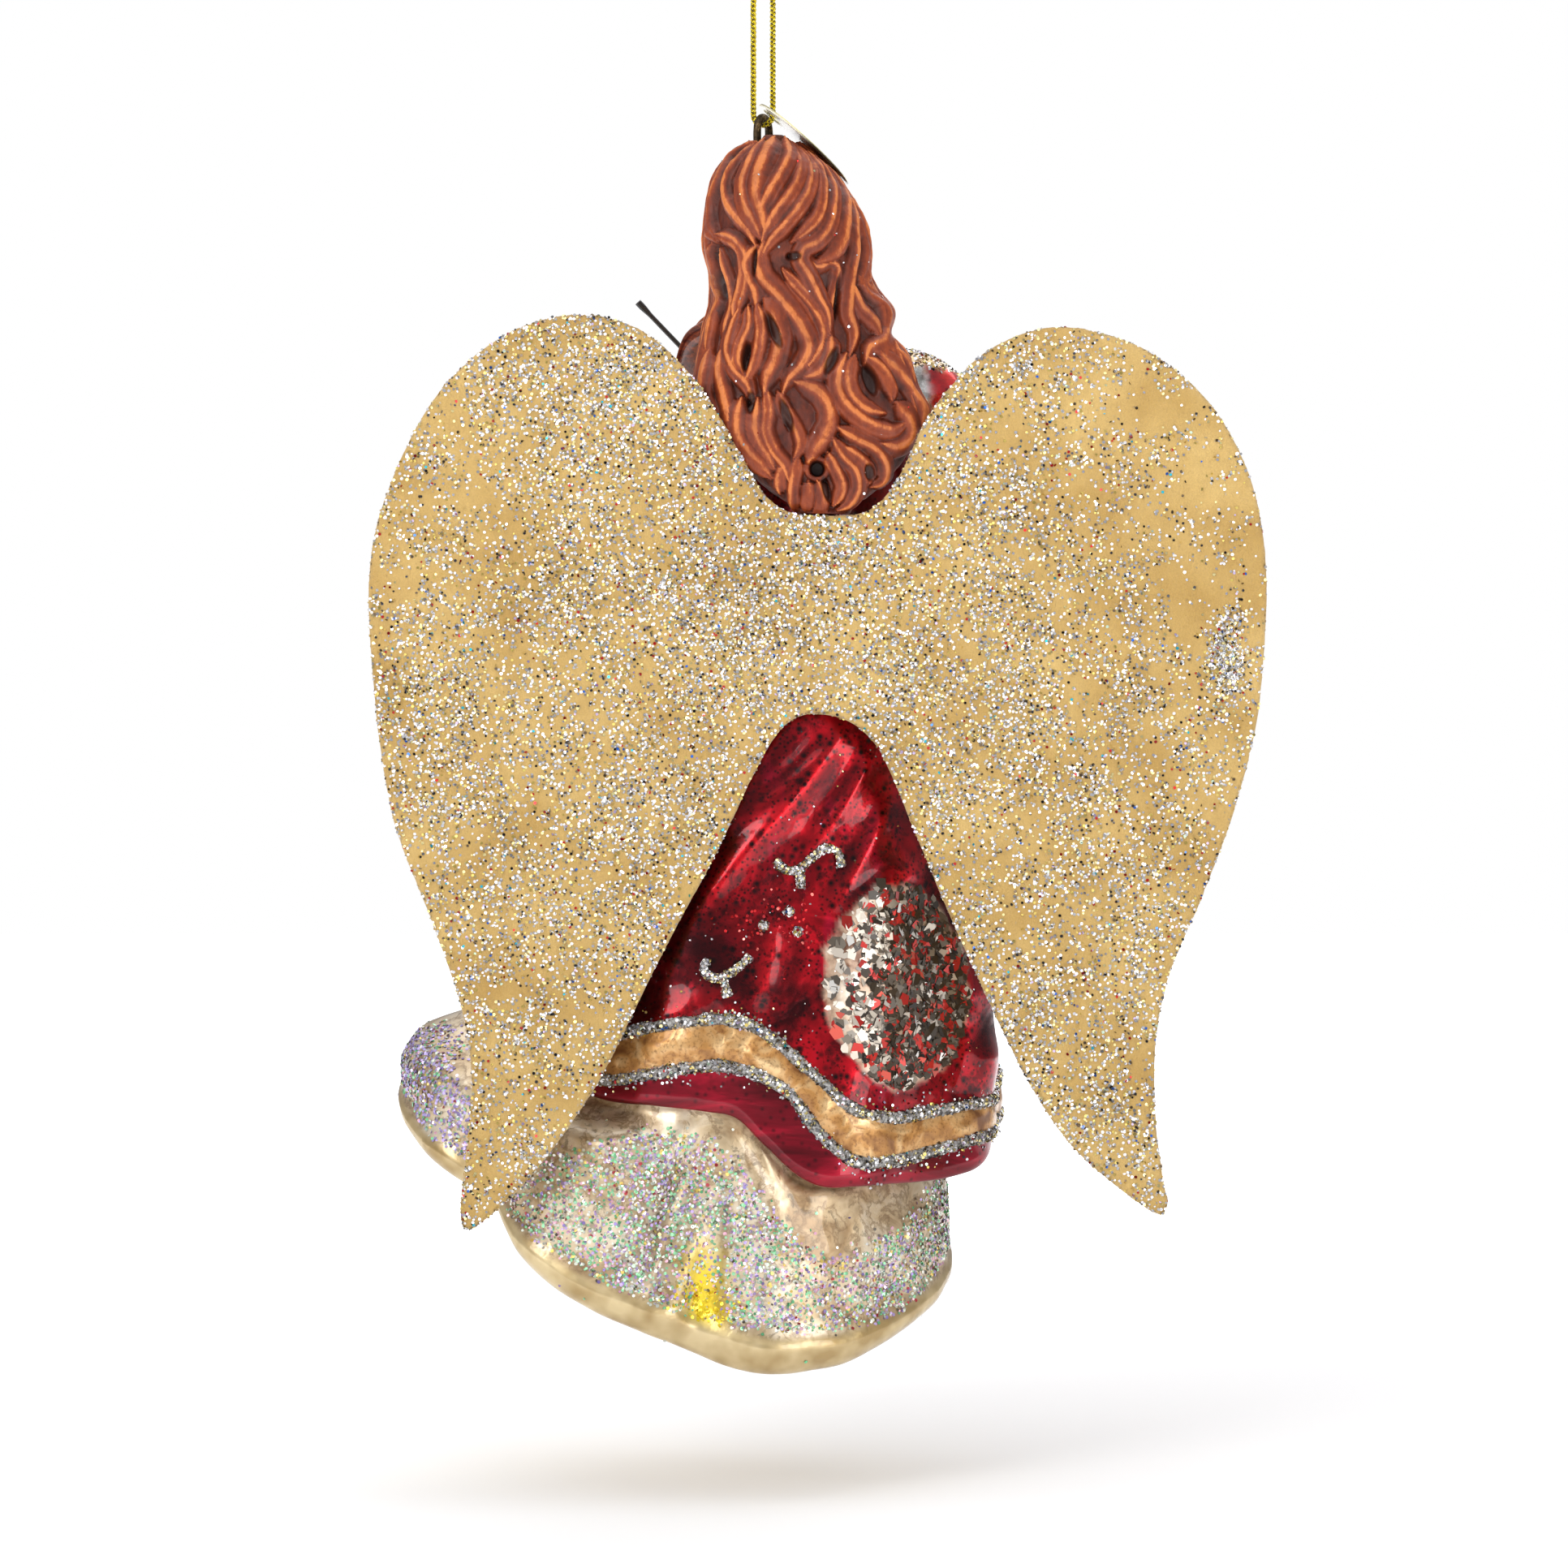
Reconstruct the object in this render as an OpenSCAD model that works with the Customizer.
// Hanging angel ornament with a violin: a blown-glass dress, a cast head and
// hair, felt wings, a wire eye and a cord loop. Millimetres, +Z up.
// The origin is where a hook carries the cord loop. The angel faces +Y.
// Heights are written as depths below that hook, so a point's z is -depth.

/* [Hanger] */
// Thickness of the cord
cord_d = 0.6; // [0.5:0.05:0.8]
// Distance between the cord's two strands
strand_gap = 2.4; // [2.2:0.1:3]
// Thickness of the eye's wire
eye_wire_d = 0.9; // [0.7:0.1:1.1]
// Turn of the eye about the vertical, seen from above
eye_turn = 25; // [15:5:40]

/* [Tag] */
// Length of the tag
tag_len = 13.4; // [11:0.2:15]
// Width of the tag
tag_w = 12; // [9:0.5:14]
// Thickness of the tag
tag_t = 0.3; // [0.2:0.05:0.5]
// Radius of the hole that the cord passes through
tag_hole_r = 1.25; // [1.1:0.05:1.3]
// Slope of the tag below the horizontal
tag_slope = 42; // [40:1:45]

/* [Dress] */
// Wall of the blown glass
glass_t = 1; // [0.6:0.1:1.4]
// Depth of the hollows between the skirt's lobes, as a share of its width
skirt_hollow = 0.10; // [0:0.01:0.14]
// Radius of the glitter beading along the hem
bead_r = 0.55; // [0.3:0.05:0.8]

/* [Wings] */
// Thickness of the felt
felt_t = 1.6; // [1:0.1:2.5]
// Lean of the wings from the vertical, lower ends backwards
wing_lean = 5; // [3:0.5:8]

/* [Violin] */
// Length of the violin's body
violin_len = 30; // [27:1:32]
// Width of its lower bout
violin_w = 17; // [15:0.5:18]
// Height of its ribs
rib_h = 3; // [2.5:0.25:3.5]
// Length of the bow
bow_len = 47; // [44:1:50]
// Thickness of the bow
bow_d = 0.56; // [0.4:0.04:0.8]

/* [Hidden] */
$fn = 32;

// ---------------------------------------------------------------- curves

function mix(a, b, t) = a + (b - a) * t;
function unit(v) = v / norm(v);

// Knots are [position, values]; the curve runs smoothly through them.
function span(k, x, i = 0) = i >= len(k) - 2 || x < k[i + 1][0] ? i : span(k, x, i + 1);
function slope(k, i) = let (a = max(i - 1, 0), b = min(i + 1, len(k) - 1))
    (k[b][1] - k[a][1]) / (k[b][0] - k[a][0]);
function along(k, x) = let (
        i = span(k, x),
        h = k[i + 1][0] - k[i][0],
        t = min(max((x - k[i][0]) / h, 0), 1))
    k[i][1] * (2 * pow(t, 3) - 3 * pow(t, 2) + 1)
    + slope(k, i) * h * (pow(t, 3) - 2 * pow(t, 2) + t)
    + k[i + 1][1] * (3 * pow(t, 2) - 2 * pow(t, 3))
    + slope(k, i + 1) * h * (pow(t, 3) - pow(t, 2));

// Knots given round a full turn, carried past both ends so that they close.
function round_knots(k) = let (n = len(k)) concat(
    [[k[n - 1][0] - 360, k[n - 1][1]]], k, [[k[0][0] + 360, k[0][1]]]);

// A smooth closed outline through points, with n steps between neighbours.
function loop_at(p, i, t) = let (n = len(p),
        a = p[(i + n - 1) % n], b = p[i], c = p[(i + 1) % n], d = p[(i + 2) % n])
    0.5 * (2 * b + (c - a) * t + (2 * a - 5 * b + 4 * c - d) * t * t
        + (3 * b - a - 3 * c + d) * t * t * t);
function smooth_loop(p, n) = [for (i = [0 : len(p) - 1], j = [0 : n - 1]) loop_at(p, i, j / n)];

// ---------------------------------------------------------------- skins

// A skin over rings of equal count, each anticlockwise seen from its start.
// It is capped at both ends, or its last ring joins its first.
module skin(rings, closed = false) {
    n = len(rings[0]);
    m = len(rings);
    sides = [for (i = [0 : m - (closed ? 1 : 2)], j = [0 : n - 1])
        let (a = i * n, b = ((i + 1) % m) * n, k = (j + 1) % n)
        each [[a + j, a + k, b + k], [a + j, b + k, b + j]]];
    caps = closed ? [] : [[for (j = [n - 1 : -1 : 0]) j], [for (j = [0 : n - 1]) (m - 1) * n + j]];
    polyhedron([for (r = rings) each r], concat(sides, caps), 10);
}

// Rings of radius r[i] round the points p[i], for a tube along them.
function tube_rings(p, r, n) = [for (i = [0 : len(p) - 1])
    let (t = unit(p[min(i + 1, len(p) - 1)] - p[max(i - 1, 0)]),
        side = unit(cross(t, abs(t.y) > 0.8 ? [1, 0, 0.2] : [0, 1, 0.1])),
        up = cross(t, side))
    [for (j = [0 : n - 1]) let (a = -360 * j / n) p[i] + r[i] * (side * cos(a) + up * sin(a))]];

// Local axes: ex and ey span the plane, ez is its normal, at the point o.
module place(o, ex, ey, ez) {
    multmatrix([[ex.x, ey.x, ez.x, o.x], [ex.y, ey.y, ez.y, o.y], [ex.z, ey.z, ez.z, o.z]])
        children();
}

// ---------------------------------------------------------------- hanger

// The cord hangs in the vertical plane of the eye's hole axis.
hole_axis = [cos(eye_turn), -sin(eye_turn), 0];
// Depth of the cord's turn in the eye, and the turn's radius.
eye_depth = 15;
turn_r = strand_gap / 2;

// Places along half the cord, as [distance along the hole axis, depth].
cord_half = concat(
    [[turn_r - 0.85, -1.9], [turn_r - 0.5, -1.1], [turn_r - 0.15, 0]],
    [for (d = [1.4, 3.4, 5.6, 7.8, 10, 12, eye_depth - 1.7]) [turn_r, d]],
    [[turn_r - 0.05, eye_depth - 0.9], [turn_r - 0.3, eye_depth - 0.4], [turn_r - 0.7, eye_depth - 0.1]]);
cord_route = concat(cord_half, [[0, eye_depth]],
    [for (i = [len(cord_half) - 1 : -1 : 0]) [-cord_half[i].x, cord_half[i].y]]);
cord_points = [for (q = cord_route) hole_axis * q.x - [0, 0, q.y]];

knot_depth = -2.6;
knot_r = 1.15;
tail_len = 3;

module hanging_cord() {
    color("goldenrod")
    difference() {
        skin(tube_rings(cord_points, [for (q = cord_points) cord_d / 2], 8));
        knot_ball();
    }
}

module knot_ball() translate([0, 0, -knot_depth]) sphere(r = knot_r);

module cord_knot() {
    color("goldenrod") {
        knot_ball();
        for (side = [-1, 1])
            translate([0, 0, -knot_depth]) rotate([0, 14 * side, 0])
                cylinder(r = cord_d / 2, h = knot_r + tail_len);
    }
}

// The eye is a stadium ring on a shank, its top just over the cord's turn.
eye_r = 1.55;
eye_clearance = 0.08;
eye_top = eye_depth - cord_d / 2 - eye_clearance - eye_wire_d / 2;
eye_straight = 1.1;
shank_len = 7;

module eye_form(wire_r) {
    rotate([0, 0, 90 - eye_turn]) {
        for (end = [0, 1])
            translate([0, 0, -(eye_top + eye_r + end * eye_straight)])
                rotate([90, 180 * end, 0])
                    rotate_extrude(angle = 180) translate([eye_r, 0]) circle(wire_r);
        for (side = [-1, 1])
            translate([side * eye_r, 0, -(eye_top + eye_r + eye_straight)])
                cylinder(r = wire_r, h = eye_straight);
        translate([0, 0, -(eye_top + 2 * eye_r + eye_straight + shank_len)])
            cylinder(r = wire_r, h = shank_len);
    }
}

module eyelet() color([0.24, 0.19, 0.14]) eye_form(eye_wire_d / 2);

// ---------------------------------------------------------------- tag

// The tag turns about a line just over the eye, and leans on the hair.
tag_over_eye = 0.62;
tag_hinge = [0, 0, -(eye_top - eye_wire_d / 2 - tag_over_eye)];
tag_twist = 4;
tag_end = 0.5;
tag_hole_at = 1.45;
tag_x = [cos(tag_slope), 0, -sin(tag_slope)];
tag_up = [sin(tag_slope), 0, cos(tag_slope)];
tag_y = [0, cos(tag_twist), 0] - tag_up * sin(tag_twist);
tag_z = tag_up * cos(tag_twist) + [0, sin(tag_twist), 0];
tag_mid_y = -0.65;

module hang_tag() {
    color("palegoldenrod")
    place(tag_hinge + [0, tag_mid_y, 0], tag_x, tag_y, tag_z)
        translate([0, 0, -tag_t / 2]) linear_extrude(tag_t)
            difference() {
                polygon([for (a = [0 : 7.5 : 359]) [
                    tag_len / 2 * (1 + cos(a)) - tag_end, tag_w / 2 * sin(a)]]);
                translate([tag_hole_at, 0]) circle(tag_hole_r);
            }
}

// ---------------------------------------------------------------- dress

// The dress round its vertical axis: depth, then [centre x, centre y, half
// width, half thickness].
dress = [
    [43, [3.6, -3.2, 3.8, 3.4]],
    [44, [4.2, -3.2, 7, 4]],
    [46, [4.8, -2.9, 10, 5.2]],
    [49, [5.2, -2.5, 11.2, 6.3]],
    [54, [5.6, -2.1, 10.8, 7.4]],
    [60, [6.1, -2.6, 9.4, 7.7]],
    [66, [6.3, -3.2, 9, 7.6]],
    [78, [4.6, -2.4, 13.2, 9.6]],
    [92, [0.5, -0.5, 20.5, 13.2]],
    [106, [-2, 2.2, 27, 17.3]],
    [118, [-2.75, 4.6, 29.25, 20.9]],
    [134, [-2.75, 5.2, 29.25, 22.3]]];

// Edges of the hem's bands round the dress: angle, then the depths of the
// gold band's upper edge, its lower edge and the dark band's lower edge.
hem = round_knots([
    [0, [122.8, 126.6, 129]], [30, [119, 124, 127]], [60, [114, 119, 122.5]],
    [90, [110, 115, 118.5]], [120, [106.5, 111.5, 114.5]], [150, [104, 109, 112]],
    [180, [104, 108.5, 111.5]], [200, [108.5, 113, 115.5]], [220, [114, 118.5, 120.5]],
    [238, [116.6, 121.6, 123.9]], [252, [115.7, 120.9, 124.5]], [264, [114.9, 120, 125.2]],
    [270, [115.2, 120.3, 126]], [276, [116.5, 121.4, 128.8]], [282, [118.9, 123.4, 131.6]],
    [288, [121.7, 127.6, 133.3]], [295, [124.8, 130.5, 133.5]], [305, [125.9, 130.7, 133.3]],
    [318, [125.3, 129.7, 133]], [332, [124.5, 128.4, 132]], [346, [123.9, 127.5, 130]]]);

dress_steps = 48;
waist_depth = 66;
neck_depth = 43;
fold_depth = 0.025;
fold_count = 9;
fold_lean = 2.4;

// Folds grow from the waist down and lean to one side.
function folds(u, d) = 1 + fold_depth * min(max((d - waist_depth) / 30, 0), 1)
    * sin(fold_count * u + fold_lean * d);
function dress_at(u, d, inset) = let (q = along(dress, d), r = folds(u, d))
    [q[0] + (q[2] * r - inset) * cos(u), q[1] + (q[3] * r - inset) * sin(u), -d];
function dress_ring(inset, depths) = [for (i = [0 : dress_steps - 1])
    let (u = 360 * i / dress_steps) dress_at(u, depths[i], inset)];
function edge_depths(k) = [for (i = [0 : dress_steps - 1]) along(hem, 360 * i / dress_steps)[k]];
function level(d) = [for (i = [0 : dress_steps - 1]) d];

// A wall of the dress between two edges, in the given number of bands.
module dress_wall(top, bottom, bands) {
    outer = [for (b = [0 : bands]) dress_ring(0, mix(top, bottom, b / bands))];
    inner = [for (b = [bands : -1 : 0]) dress_ring(glass_t, mix(top, bottom, b / bands))];
    skin(concat(outer, inner), true);
}

bodice_bands = 7;
module bodice_form() {
    skin([for (b = [0 : bodice_bands]) dress_ring(0, level(mix(neck_depth, waist_depth, b / bodice_bands)))]);
}
module bodice() {
    color([0.62, 0.05, 0.08])
    difference() {
        dress_wall(level(neck_depth), level(waist_depth), bodice_bands);
        neck_form();
    }
}
gown_bands = 9;
module gown_form() {
    skin([for (b = [0 : gown_bands]) dress_ring(0, mix(level(waist_depth), edge_depths(0), b / gown_bands))]);
}
module gown() color([0.66, 0.02, 0.07]) dress_wall(level(waist_depth), edge_depths(0), gown_bands);
module gown_trim() color([0.72, 0.5, 0.24]) dress_wall(edge_depths(0), edge_depths(1), 2);

// The dark band ends in a lip that turns in to the skirt.
lip = round_knots([[0, [5.2]], [45, [2.4]], [90, [1.6]], [180, [1.8]], [250, [1.5]], [290, [1.8]],
    [320, [3.2]], [340, [4.8]]]);
lip_round = 1.4;

module gown_hem() {
    top = edge_depths(1);
    bottom = edge_depths(2);
    lip_ring = [for (i = [0 : dress_steps - 1]) let (u = 360 * i / dress_steps)
        dress_at(u, bottom[i], max(along(lip, u)[0], glass_t))];
    color([0.42, 0.03, 0.08])
    skin([dress_ring(0, top), dress_ring(0, bottom - level(lip_round)),
        dress_ring(0.5, bottom - level(0.3)), lip_ring,
        [for (p = lip_ring) p + [0, 0, glass_t]],
        dress_ring(glass_t, bottom - level(lip_round)), dress_ring(glass_t, top)], true);
}

// The skirt below the hem: an oval with lobes, cut by a sloping rounded base.
skirt_c = [-10.1, 5];
skirt_half = [30.9, 22];
skirt_hollows = [277, 224, 172, 40, 88, 132];
hollow_w = 9;
skirt_edge = round_knots([
    [0, [144.5]], [45, [143]], [90, [137]], [135, [129.5]], [165, [124.5]], [180, [125]],
    [200, [130]], [215, [133.6]], [227, [138.2]], [240, [143.6]], [252, [147.4]],
    [264, [149.8]], [276, [152]], [290, [154.1]], [305, [153.9]], [320, [152]],
    [335, [149.4]], [350, [146.6]]]);
skirt_inset = round_knots([[0, [0.02]], [45, [0.06]], [90, [0.16]], [135, [0.24]], [180, [0.32]],
    [205, [0.24]], [230, [0.08]], [270, [0.06]], [320, [0.03]]]);
flare_len = 8.4;
skirt_top_over = 2;
base_depth = 138;

function turn_gap(a, b) = abs((a - b + 540) % 360 - 180);
function lobes(u) = 1 - skirt_hollow * max([for (h = skirt_hollows) exp(-pow(turn_gap(u, h) / hollow_w, 2))]);
function skirt_at(u, d, below, shrink, inset) = let (
        flare = 1 - along(skirt_inset, u)[0] * pow(1 - min(max(below / flare_len, 0), 1), 2),
        r = flare * mix(1, lobes(u), min(max(below / flare_len, 0), 1)) * shrink)
    [skirt_c.x + (skirt_half.x * r - inset) * cos(u), skirt_c.y + (skirt_half.y * r - inset) * sin(u), -d];

// Rows of the skirt from its hidden top edge to the start of its rounded rim.
skirt_rows = [0, 0.12, 0.3, 0.55, 1];
// The rim and base: [share of the full width, height above the edge].
rim_rows = [[0.985, 1.8], [0.95, 0.6], [0.89, 0]];
base_rows = [0.6, 0.3, 0.06];
rim_h = 3.6;

function skirt_rings(inset) = concat(
    [for (row = skirt_rows) [for (i = [0 : dress_steps - 1]) let (u = 360 * i / dress_steps,
        top = along(hem, u)[2] - skirt_top_over,
        d = mix(top, along(skirt_edge, u)[0] - rim_h, row))
        skirt_at(u, d, d - top - skirt_top_over, 1, inset)]],
    [for (row = rim_rows) [for (i = [0 : dress_steps - 1]) let (u = 360 * i / dress_steps)
        skirt_at(u, along(skirt_edge, u)[0] - row[1] - inset, flare_len, row[0], inset)]],
    [for (share = base_rows) [for (i = [0 : dress_steps - 1]) let (u = 360 * i / dress_steps)
        skirt_at(u, mix(along(skirt_edge, u)[0], base_depth, 1 - share) - inset, flare_len, share, 0)]]);

module underskirt() {
    outer = skirt_rings(0);
    inner = skirt_rings(glass_t);
    color([0.74, 0.68, 0.54])
        skin(concat([for (i = [len(inner) - 1 : -1 : 0]) inner[i]], outer));
}

// Glitter beading along an edge of the gold band.
bead_steps = 96;
function bead_path(k) = [for (i = [0 : bead_steps - 1]) let (u = 360 * i / bead_steps)
    dress_at(u, along(hem, u)[k], -bead_r * 0.5)];

module beading(k) {
    p = bead_path(k);
    n = len(p);
    rings = [for (i = [0 : n - 1]) let (
            t = unit(p[(i + 1) % n] - p[(i + n - 1) % n]),
            side = unit(cross(t, [0, 0, 1])), up = cross(side, t))
        [for (a = [0 : 90 : 359]) p[i] + bead_r * (side * cos(a) * 0.5 + up * sin(a))]];
    difference() {
        skin(rings, true);
        skin([for (b = [0 : 10]) dress_ring(0, mix(level(90), edge_depths(2), b / 10))]);
    }
}
module hem_glitter_upper() color("silver") beading(0);
module hem_glitter_lower() color("silver") beading(1);

// Raised glitter motifs on the back of the gown: lines of [x, depth] points.
scroll_lines = [
    [[1.4, 97.3], [2.6, 98.3], [4.1, 98.3], [5.4, 97.2], [7, 96], [8.4, 96.4], [8.7, 98]],
    [[4.1, 98.3], [4.3, 99.4], [4.3, 100.4]],
    [[-6, 108.2], [-6.4, 109.4], [-5.6, 110.2], [-4.4, 110.2], [-2.8, 109.2], [-1.4, 107.9]],
    [[-4.4, 110.2], [-4.1, 111.4], [-3.9, 112.4]]];
scroll_dots = [[3, 102.9], [0.1, 104.5], [4, 105.2]];
scroll_r = 0.5;

// A place on the gown's back at a given x and depth.
function back_at(x, d) = let (q = along(dress, d)) dress_at(-acos((x - q[0]) / q[2]), d, 0);

module scroll_glitter() {
    color("silver")
    difference() {
        union() {
            for (l = scroll_lines)
                skin(tube_rings([for (q = l) back_at(q.x, q.y)], [for (q = l) scroll_r], 5));
            for (q = scroll_dots) translate(back_at(q.x, q.y)) sphere(r = scroll_r, $fn = 8);
        }
        gown_form();
    }
}

// Gold collar over the shoulders, under the hair.
collar_depths = [43, 44, 45, 46];
collar_t = 0.5;
module collar_form() skin([for (d = collar_depths) dress_ring(-collar_t, level(d))]);

module collar() {
    color([0.76, 0.6, 0.34])
    difference() {
        collar_form();
        bodice_form();
        sleeve_form(right_arm, right_arm_r);
        sleeve_form(left_arm, left_arm_r);
        neck_form();
    }
}

// ---------------------------------------------------------------- arms

// Each arm from the shoulder by the elbow to the wrist, with its radii.
right_arm = [[10.5, -3.5, -46.5], [15.5, -4, -46], [20.2, -2, -49.5], [23.6, 1.8, -56],
    [23.8, 7.2, -61.8], [21, 12, -64.4], [17.8, 15.4, -65]];
right_arm_r = [4.6, 6, 5.8, 5, 4.4, 4.2, 4.8];
left_arm = [[-1, -3, -47], [-5.6, -2.4, -48], [-10, 1, -54.5], [-13.6, 6, -62],
    [-15.8, 11.5, -66.4], [-17.4, 16, -66.6], [-18.8, 19.4, -65.6]];
left_arm_r = [4.4, 5.4, 5.2, 4.6, 4.2, 4, 4.6];
arm_sides = 16;
cuff_w = 1.2;

function arm_axis(arm) = unit(arm[len(arm) - 1] - arm[len(arm) - 2]);

module sleeve_form(arm, r) skin(tube_rings(arm, r, arm_sides));

module sleeve(arm, r) {
    color([0.66, 0.02, 0.07])
    difference() {
        sleeve_form(arm, r);
        bodice_form();
    }
}
module left_sleeve() sleeve(left_arm, left_arm_r);
module right_sleeve() sleeve(right_arm, right_arm_r);

module cuff(arm, r) {
    end = arm[len(arm) - 1];
    color([0.76, 0.6, 0.34])
        skin(tube_rings([end, end + arm_axis(arm) * cuff_w], [r[len(r) - 1] + 0.1, r[len(r) - 1] - 0.4],
            arm_sides));
}
module left_cuff() cuff(left_arm, left_arm_r);
module right_cuff() cuff(right_arm, right_arm_r);

// ---------------------------------------------------------------- head

// Rings of the head from the crown down: depth, then [centre x, centre y,
// half width, half length front to back].
skull = [
    [18, [2.4, -3, 1, 1.4]], [19, [2.4, -3, 4, 5]], [21, [2.4, -2.6, 5.8, 7]],
    [24, [2.4, -2.2, 6.9, 8.2]], [28, [2.4, -1.8, 7, 8.5]], [31, [2.2, -1.2, 6.4, 8]],
    [34, [2, 0.6, 5, 6.4]], [36.4, [1.9, 2.4, 3.2, 4.2]], [37.2, [1.9, 3, 1.4, 2]]];
head_steps = 24;

module head_form() {
    skin([for (d = [18, 19, 20.5, 22.5, 25, 28, 31, 33.5, 35.5, 36.6, 37.2]) let (q = along(skull, d))
        [for (i = [0 : head_steps - 1]) let (u = 360 * i / head_steps)
            [q[0] + q[2] * cos(u), q[1] + q[3] * sin(u), -d]]]);
}
neck_foot = [2.8, -2.6, -47];
neck_r = 2.9;
neck_h = 14;
module neck_form() translate(neck_foot) cylinder(r = neck_r, h = neck_h);

module head() {
    color([0.94, 0.76, 0.64])
    difference() {
        union() {
            head_form();
            neck_form();
        }
        eye_form(eye_wire_d / 2);
    }
}

// The hair's mass, from the crown to the curls between the wings: depth,
// then [left x, right x, back y, front y].
hair_mass = [
    [16.3, [0.2, 2.2, -4.6, -2.2]], [16.9, [-1, 3.6, -6.6, 0.6]], [18.2, [-3, 5.2, -9, 2.6]],
    [20.2, [-4.8, 7.4, -10.8, 3.8]], [23, [-5.8, 9.4, -12, 4.2]], [26, [-6.2, 11, -12.6, 3.8]],
    [29, [-6.3, 11.8, -12.8, 2.8]], [32, [-5.6, 11.8, -12.6, 1.8]], [35, [-5.6, 13.1, -12.4, 0.4]],
    [38, [-6.4, 14.2, -12.6, -2]], [41, [-7, 15.6, -12.9, -4.6]], [44, [-7.4, 16.8, -13.1, -5.8]],
    [48, [-7.2, 18, -13.5, -6.4]], [52, [-4.8, 16.8, -13.7, -7]], [55, [-1.6, 14.6, -13.8, -8]],
    [57.4, [1.4, 12, -13.8, -9]], [58.8, [4, 9.6, -13.5, -10.4]]];
hair_steps = 28;
vent_r = 0.85;

module hair_form() {
    skin([for (k = hair_mass) let (d = k[0], q = k[1])
        [for (i = [0 : hair_steps - 1]) let (u = 360 * i / hair_steps)
            [mix(q[0], q[1], 0.5 + 0.5 * cos(u)), mix(q[2], q[3], 0.5 + 0.5 * sin(u)), -d]]]);
}

module hair() {
    color([0.48, 0.22, 0.11])
    difference() {
        hair_form();
        head_form();
        neck_form();
        bodice_form();
        collar_form();
        wings();
        sleeve_form(right_arm, right_arm_r);
        sleeve_form(left_arm, left_arm_r);
        eye_form(eye_wire_d / 2);
        translate([6, -10, -53.8]) rotate([90, 0, 0]) cylinder(r = vent_r, h = 6);
    }
}

// ---------------------------------------------------------------- wings

// The wings are one sheet. Its outline, as [x, depth], runs from the foot of
// the notch for the hair round the right wing, then round the left one.
wing_outline = [
    [10.2, 59], [12.8, 57.8], [14.6, 55.6], [16.3, 52.4], [17.9, 48.8], [21.1, 44.4],
    [25.4, 40.4], [32.2, 38], [40, 39.4], [46, 42.9], [51, 48.4], [54.5, 56.1], [55.9, 66.2],
    [54.9, 81.1], [52.2, 91.9], [48.9, 100.9], [45.1, 109.9], [43.5, 117.5], [43.4, 125.5],
    [44.2, 132.5], [44.7, 135.6], [43.4, 136.6], [38, 132.7], [33.8, 128.7], [30, 123.1],
    [26.9, 117.1], [21.6, 105.6], [17, 94.7], [12.4, 84.4], [6.7, 81.2], [1.4, 83.6],
    [-5.5, 97.3], [-11.4, 108.3], [-18.1, 121.9], [-25, 131.7], [-29.4, 136.2], [-32.5, 138.4],
    [-33.4, 136.6], [-32.9, 131], [-32.2, 122], [-33.4, 113.7], [-36.9, 103.6], [-41.2, 91.9],
    [-43.4, 75.7], [-43.4, 62.6], [-39.7, 51.5], [-34.5, 43.5], [-27.4, 38.2], [-19.9, 36.6],
    [-13.2, 38.6], [-7.8, 43.6], [-4.6, 48.4], [-1.8, 53.5], [0.4, 57], [3.6, 58.9]];
wing_mid_depth = 64;
wing_front_y = -12.5;

// Places a sheet drawn as [x, depth below its middle] on the angel's back.
module on_back() translate([0, wing_front_y, -wing_mid_depth]) rotate([90 - wing_lean, 0, 0]) children();

module wings() {
    color([0.8, 0.65, 0.37])
    on_back() linear_extrude(felt_t)
        polygon([for (p = smooth_loop(wing_outline, 3)) [p.x, wing_mid_depth - p.y]]);
}

// Two dabs of glue between the dress and the wings.
glue_pads = [[2.4, 64], [9.6, 65.5]];
glue_r = 2.4;
glue_reach = 4;

module wing_glue() {
    color([0.86, 0.82, 0.7])
    difference() {
        for (g = glue_pads)
            on_back() translate([g.x, wing_mid_depth - g.y, -glue_reach])
                cylinder(r = glue_r, h = glue_reach);
        bodice_form();
        gown_form();
    }
}

// ---------------------------------------------------------------- violin

// The violin's own axes: along it from the chin to the scroll, across it, and
// out of its top plate.
violin_o = [1.5, 5, -39.8];
violin_x = unit([-0.6, 0.53, -0.6]);
violin_y = unit([-1, 0, 1]);
violin_z = cross(violin_x, violin_y);
function violin_at(l, c, h) = violin_o + violin_x * l + violin_y * c + violin_z * h;
module on_violin() place(violin_o, violin_x, violin_y, violin_z) children();

plate_t = 0.5;
top_h = rib_h + 2 * plate_t;
bridge_at = 12;
string_h = top_h + 3.1;
neck_len = 12;
nut_at = violin_len + neck_len;

// Half of the body's outline, as shares of its length and lower width.
bouts = [[0, 0.16], [0.015, 0.5], [0.09, 0.84], [0.23, 1], [0.37, 0.82], [0.47, 0.62], [0.58, 0.6],
    [0.67, 0.7], [0.8, 0.79], [0.92, 0.66], [0.985, 0.36], [1, 0.12]];
function body_outline(inset) = smooth_loop(concat(
    [for (b = bouts) [mix(inset, violin_len - inset, b[0]), -(violin_w / 2 - inset) * b[1]]],
    [for (i = [len(bouts) - 1 : -1 : 0])
        [mix(inset, violin_len - inset, bouts[i][0]), (violin_w / 2 - inset) * bouts[i][1]]]), 3);

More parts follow.
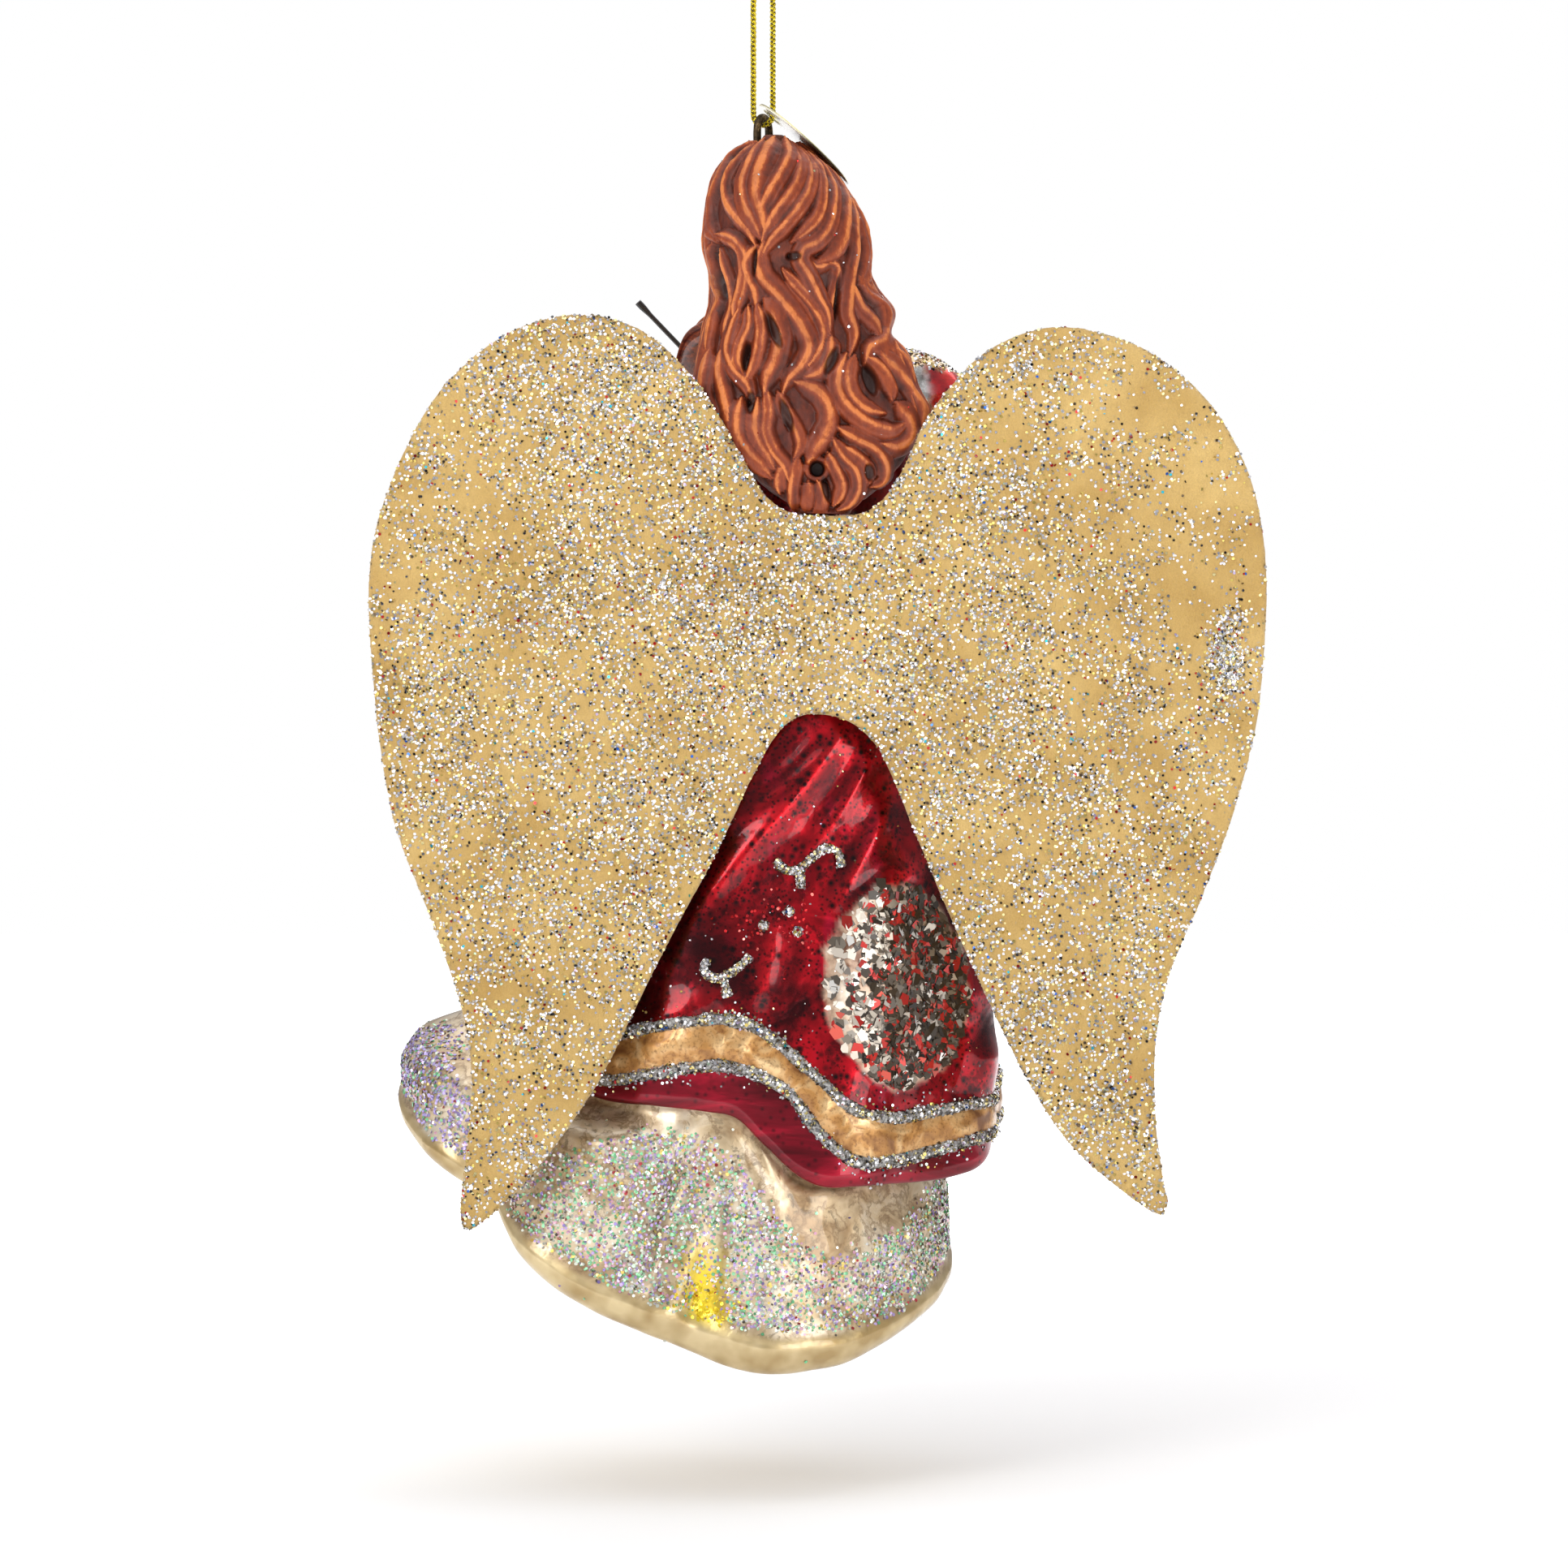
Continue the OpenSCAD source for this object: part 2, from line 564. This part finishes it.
module violin_body() {
    color([0.36, 0.16, 0.07])
    on_violin() {
        linear_extrude(plate_t) polygon(body_outline(0));
        translate([0, 0, plate_t]) linear_extrude(rib_h) polygon(body_outline(0.5));
    }
}
module violin_top() {
    color([0.5, 0.24, 0.1])
    on_violin() translate([0, 0, plate_t + rib_h]) linear_extrude(plate_t) polygon(body_outline(0));
}

module violin_neck_form() {
    on_violin() {
        translate([violin_len - 0.4, -1, top_h - 1.6]) cube([neck_len + 0.4, 2, 1.6]);
        translate([nut_at, -0.9, top_h - 1.8]) cube([4.5, 1.8, 1.6]);
        translate([nut_at + 5.6, 1, top_h - 1.4]) rotate([90, 0, 0]) cylinder(r = 1.4, h = 2);
    }
}
module violin_neck() {
    color([0.42, 0.2, 0.09])
    difference() {
        violin_neck_form();
        violin_body();
        violin_top();
    }
}
module fingerboard_form() {
    on_violin() translate([19, 0, top_h]) linear_extrude(0.9)
        polygon([[0, -1.6], [nut_at - 19, -1.1], [nut_at - 19, 1.1], [0, 1.6]]);
}
module fingerboard() color([0.08, 0.07, 0.07]) fingerboard_form();
module tailpiece() {
    color([0.08, 0.07, 0.07])
    on_violin() translate([0.4, 0, top_h]) linear_extrude(0.8)
        polygon([[0, -0.6], [7.6, -1.7], [7.6, 1.7], [0, 0.6]]);
}
module bridge() {
    color([0.78, 0.6, 0.36])
    on_violin() difference() {
        translate([bridge_at - 0.3, 0, top_h]) rotate([90, 0, 90]) linear_extrude(0.6)
            polygon([[-2.4, 0], [2.4, 0], [1.9, 2.6], [0, string_h - top_h], [-1.9, 2.6]]);
        translate([bridge_at - 1, 0, top_h + 0.9]) rotate([0, 90, 0]) cylinder(r = 0.5, h = 2);
    }
}
module chin_rest() {
    color([0.08, 0.07, 0.07])
    on_violin() translate([3.6, 4.4, top_h]) cylinder(r = 2.5, h = 0.9);
}

string_r = 0.12;
string_sides = 6;
string_spread = [[-1.2, -0.75], [-0.4, -0.25], [0.4, 0.25], [1.2, 0.75]];
function string_top(c) = string_h - 0.22 * abs(c) + string_r;

module violin_strings() {
    color("silver")
    for (s = string_spread) skin(tube_rings([
        violin_at(7.6, s[0], top_h + 1),
        violin_at(bridge_at, s[0], string_top(s[0])),
        violin_at(nut_at + 2, s[1], top_h + 1.1)], [string_r, string_r, string_r], string_sides));
}
module tuning_pegs() {
    color([0.08, 0.07, 0.07])
    on_violin() for (i = [0 : 3])
        translate([nut_at + 0.8 + i * 0.95, i % 2 == 0 ? 0.9 : -0.9, top_h - 1])
            rotate([i % 2 == 0 ? -90 : 90, 0, 0]) cylinder(r = 0.35, h = 2.4);
}

// ---------------------------------------------------------------- bow

// The bow crosses the strings just past the bridge.
bow_cross = violin_at(bridge_at + 1.6, 0, string_h + string_r * 2 + bow_d / 2 + 0.06);
bow_dir = unit([0.692, 0, -0.722]);
bow_tip_to_cross = 15.1;
function bow_at(t) = bow_cross + bow_dir * (t - bow_tip_to_cross);

module bow_rod(r) {
    a = bow_at(0);
    translate(a) rotate([0, acos(bow_dir.z), atan2(bow_dir.y, bow_dir.x)]) cylinder(r = r, h = bow_len);
}
module bow_stick() {
    color([0.05, 0.05, 0.05]) {
        bow_rod(bow_d / 2);
        translate(bow_at(0)) rotate([0, acos(bow_dir.z), 0]) cylinder(r = bow_d * 0.75, h = 1.6);
    }
}
module bow_frog() {
    color([0.08, 0.07, 0.07])
    difference() {
        translate(bow_at(bow_len - 5)) rotate([0, acos(bow_dir.z), 0])
            translate([-0.2, -0.5, 0]) cube([1.2, 1, 3]);
        bow_rod(bow_d / 2);
    }
}

// ---------------------------------------------------------------- hands

// A closed hand: wrist, palm and curled fingers round the point it holds.
wrist_r = 1.9;
palm_r = 2.1;
fingers_r = 1.8;
palm_at = 0.7;
module hand_form(wrist, grip) {
    palm = mix(wrist, grip, palm_at);
    for (part = [[wrist, wrist_r], [grip, fingers_r]])
        hull() {
            translate(part[0]) sphere(part[1], $fn = 12);
            translate(palm) sphere(palm_r, $fn = 12);
        }
}

hand_grip_right = bow_at(43.5);
hand_wrist_right = right_arm[6] + arm_axis(right_arm) * (cuff_w + 0.9);
hand_grip_left = violin_at(36, 0, 1.2);
hand_wrist_left = left_arm[6] + arm_axis(left_arm) * (cuff_w + 0.9);

module right_hand() {
    color([0.94, 0.76, 0.64])
    difference() {
        hand_form(hand_wrist_right, hand_grip_right);
        cuff(right_arm, right_arm_r);
        bow_rod(bow_d / 2 + 0.02);
        bow_frog();
    }
}
module left_hand() {
    color([0.94, 0.76, 0.64])
    difference() {
        hand_form(hand_wrist_left, hand_grip_left);
        cuff(left_arm, left_arm_r);
        violin_neck_form();
        fingerboard_form();
        violin_strings();
    }
}

hanging_cord();
cord_knot();
hang_tag();
eyelet();
head();
hair();
bodice();
gown();
gown_trim();
gown_hem();
underskirt();
collar();
left_sleeve();
right_sleeve();
left_cuff();
right_cuff();
left_hand();
right_hand();
hem_glitter_upper();
hem_glitter_lower();
scroll_glitter();
wings();
wing_glue();
violin_body();
violin_top();
violin_neck();
fingerboard();
tailpiece();
bridge();
chin_rest();
violin_strings();
tuning_pegs();
bow_stick();
bow_frog();
